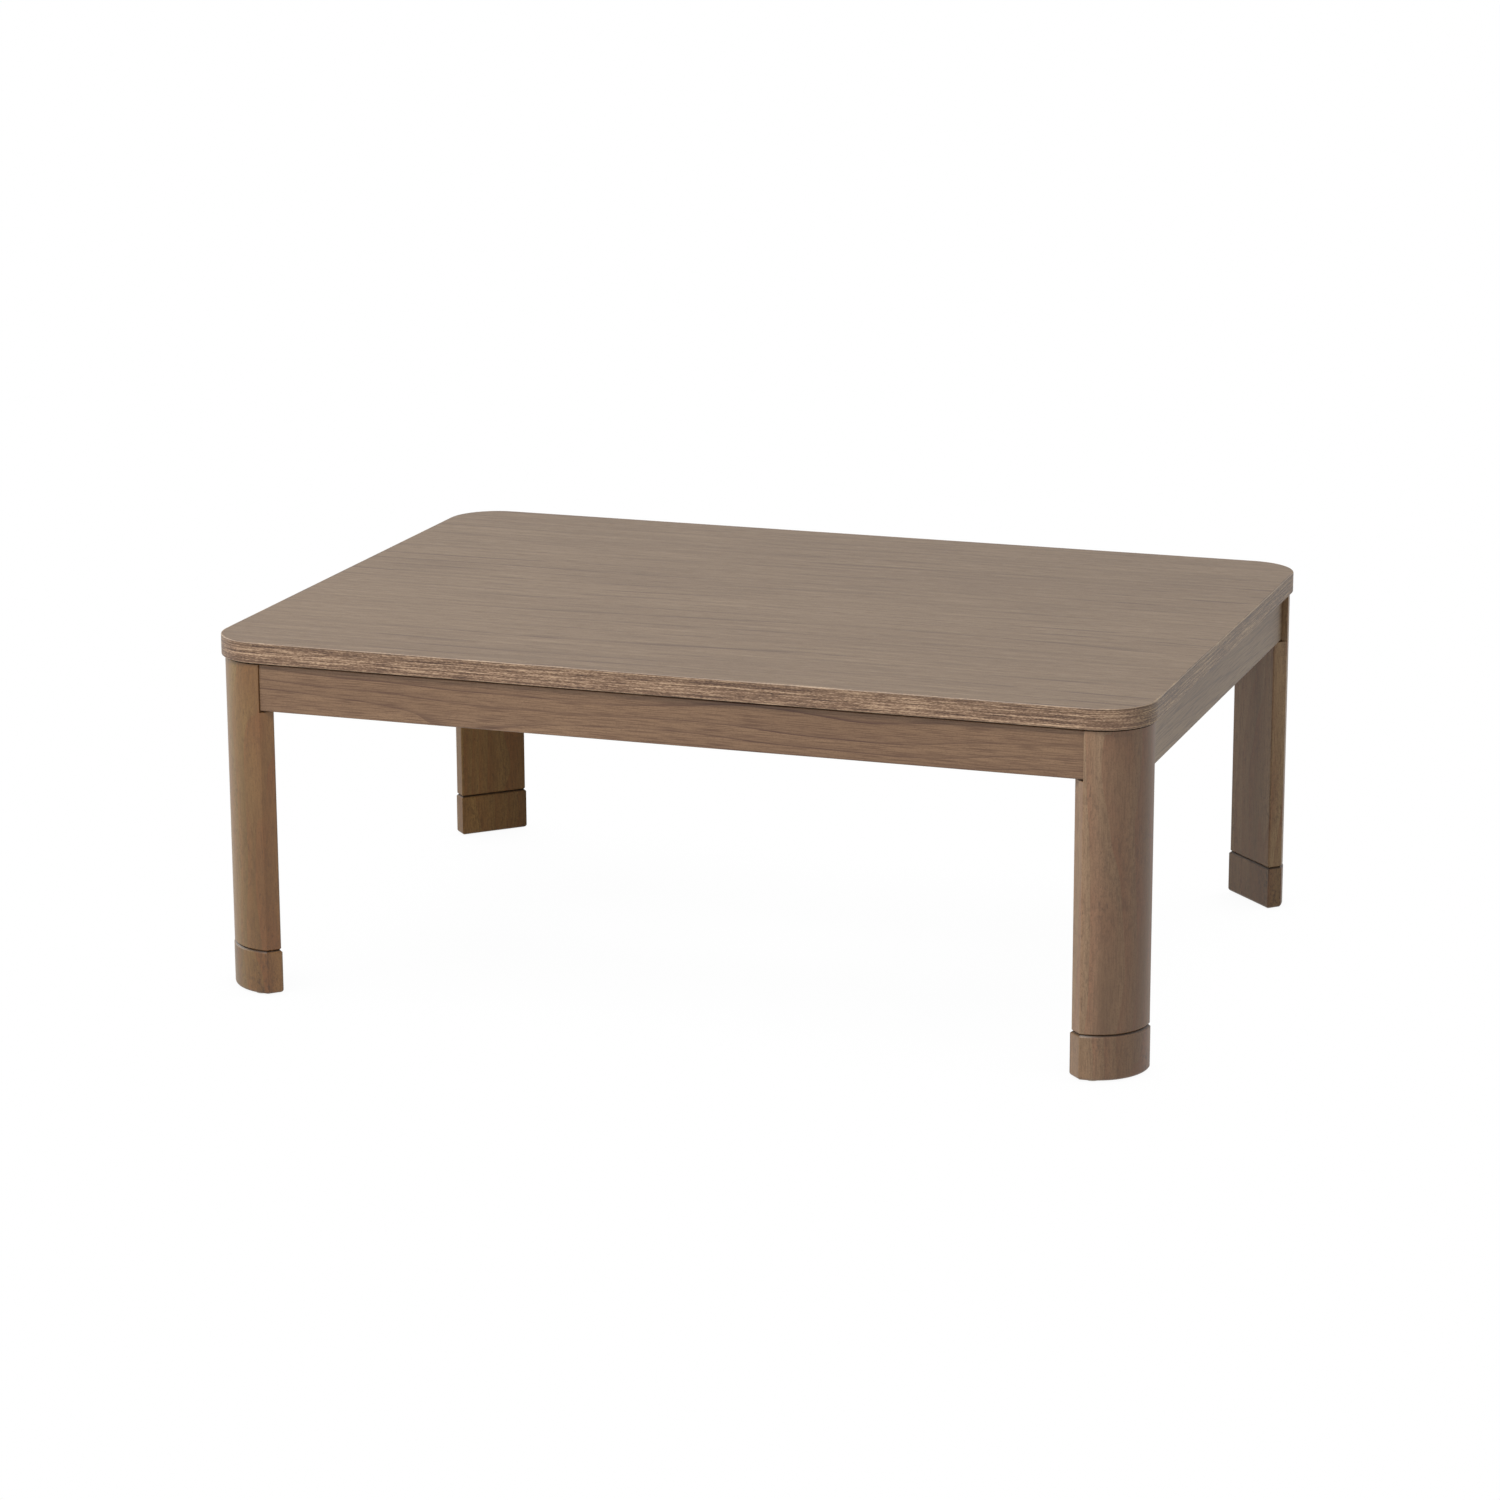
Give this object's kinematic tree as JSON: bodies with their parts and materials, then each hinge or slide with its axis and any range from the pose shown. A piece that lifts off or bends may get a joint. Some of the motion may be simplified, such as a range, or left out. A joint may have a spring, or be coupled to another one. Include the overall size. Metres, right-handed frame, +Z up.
{
  "type": "kotatsu table",
  "caption": "Low heated table: a loose rounded board on a wooden frame with D-section corner legs, bolt-on extension feet and an electric quartz heater under the middle.",
  "frame": {"origin": "on the floor under the middle of the table top", "axes": "+X along the long side to the right, +Y to the back, +Z up"},
  "size_m": [1.05, 0.75, 0.4],
  "materials": {
    "top_wood": "satin printed oak, greyish",
    "edge_wood": "satin, streaky brown",
    "core_board": "raw particle board",
    "backing_sheet": "matt backing paper",
    "rail_wood": "satin stained wood",
    "leg_wood": "satin stained rubber wood",
    "slat_wood": "raw planed softwood",
    "dowel_wood": "raw beech",
    "bumper_rubber": "matt",
    "glide_nylon": "matt moulded",
    "zinc_steel": "bright zinc plated",
    "bracket_steel": "zinc plated sheet",
    "insert_brass": "machined",
    "heater_steel": "galvanised grey",
    "guard_steel": "matt heat-proof paint",
    "bezel_steel": "matt heat-proof paint",
    "reflector_aluminium": "bright rolled",
    "quartz": "frosted quartz",
    "element_wire": "dull oxidised wire",
    "cap_ceramic": "unglazed ceramic",
    "bus_brass": "rolled strip",
    "control_black": "moulded",
    "fuse_white": "moulded",
    "lead_sleeve": "braided glass sleeve",
    "inlet_black": "moulded",
    "pin_metal": "nickel plated"
  },
  "bodies": {
    "frame": {"board_bumpers": "bumper_rubber", "front_rail": "rail_wood", "back_rail": "rail_wood", "left_rail": "rail_wood", "right_rail": "rail_wood", "foot_inserts": "insert_brass", "leg_bolt_inserts": "insert_brass", "bracket_screws": "zinc_steel", "leg_bolts": "zinc_steel", "leg_bolt_washers": "zinc_steel", "heater_slat_left": "slat_wood", "heater_slat_right": "slat_wood", "heater_slat_front": "slat_wood", "heater_slat_back": "slat_wood", "slat_dowels": "dowel_wood", "heater_screws": "zinc_steel", "heater_housing": "heater_steel", "heater_guard": "guard_steel", "guard_bezel": "bezel_steel", "bezel_screws": "zinc_steel", "heater_reflector": "reflector_aluminium", "tube_brackets": "heater_steel", "tube_end_caps": "cap_ceramic", "quartz_tubes": "quartz", "heating_elements": "element_wire", "bus_bars": "bus_brass", "thermostat": "control_black", "thermal_fuse": "fuse_white", "lead_wires": "lead_sleeve", "power_inlet": "inlet_black", "inlet_pins": "pin_metal", "leg_front_left": "leg_wood", "corner_bracket_front_left": "bracket_steel", "leg_front_right": "leg_wood", "corner_bracket_front_right": "bracket_steel", "leg_back_right": "leg_wood", "corner_bracket_back_right": "bracket_steel", "leg_back_left": "leg_wood", "corner_bracket_back_left": "bracket_steel"},
    "table_top": {"top_core": "core_board", "top_face_sheet": "top_wood", "top_backing_sheet": "backing_sheet", "top_edge_band": "edge_wood"},
    "front_left_foot": {"foot_front_left": "leg_wood", "foot_bolt_front_left": "zinc_steel", "foot_dowels_front_left": "dowel_wood", "foot_glides_front_left": "glide_nylon"},
    "front_right_foot": {"foot_front_right": "leg_wood", "foot_bolt_front_right": "zinc_steel", "foot_dowels_front_right": "dowel_wood", "foot_glides_front_right": "glide_nylon"},
    "back_right_foot": {"foot_back_right": "leg_wood", "foot_bolt_back_right": "zinc_steel", "foot_dowels_back_right": "dowel_wood", "foot_glides_back_right": "glide_nylon"},
    "back_left_foot": {"foot_back_left": "leg_wood", "foot_bolt_back_left": "zinc_steel", "foot_dowels_back_left": "dowel_wood", "foot_glides_back_left": "glide_nylon"}
  },
  "joints": [
    {"name": "top_lift", "type": "slide", "parent": "frame", "child": "table_top", "axis": [0, 0, 1], "range_m": [0, 0.3]},
    {"name": "front_left_foot_pull", "type": "slide", "parent": "frame", "child": "front_left_foot", "axis": [0, 0, -1], "range_m": [0, 0.06]},
    {"name": "front_right_foot_pull", "type": "slide", "parent": "frame", "child": "front_right_foot", "axis": [0, 0, -1], "range_m": [0, 0.06]},
    {"name": "back_right_foot_pull", "type": "slide", "parent": "frame", "child": "back_right_foot", "axis": [0, 0, -1], "range_m": [0, 0.06]},
    {"name": "back_left_foot_pull", "type": "slide", "parent": "frame", "child": "back_left_foot", "axis": [0, 0, -1], "range_m": [0, 0.06]}
  ]
}
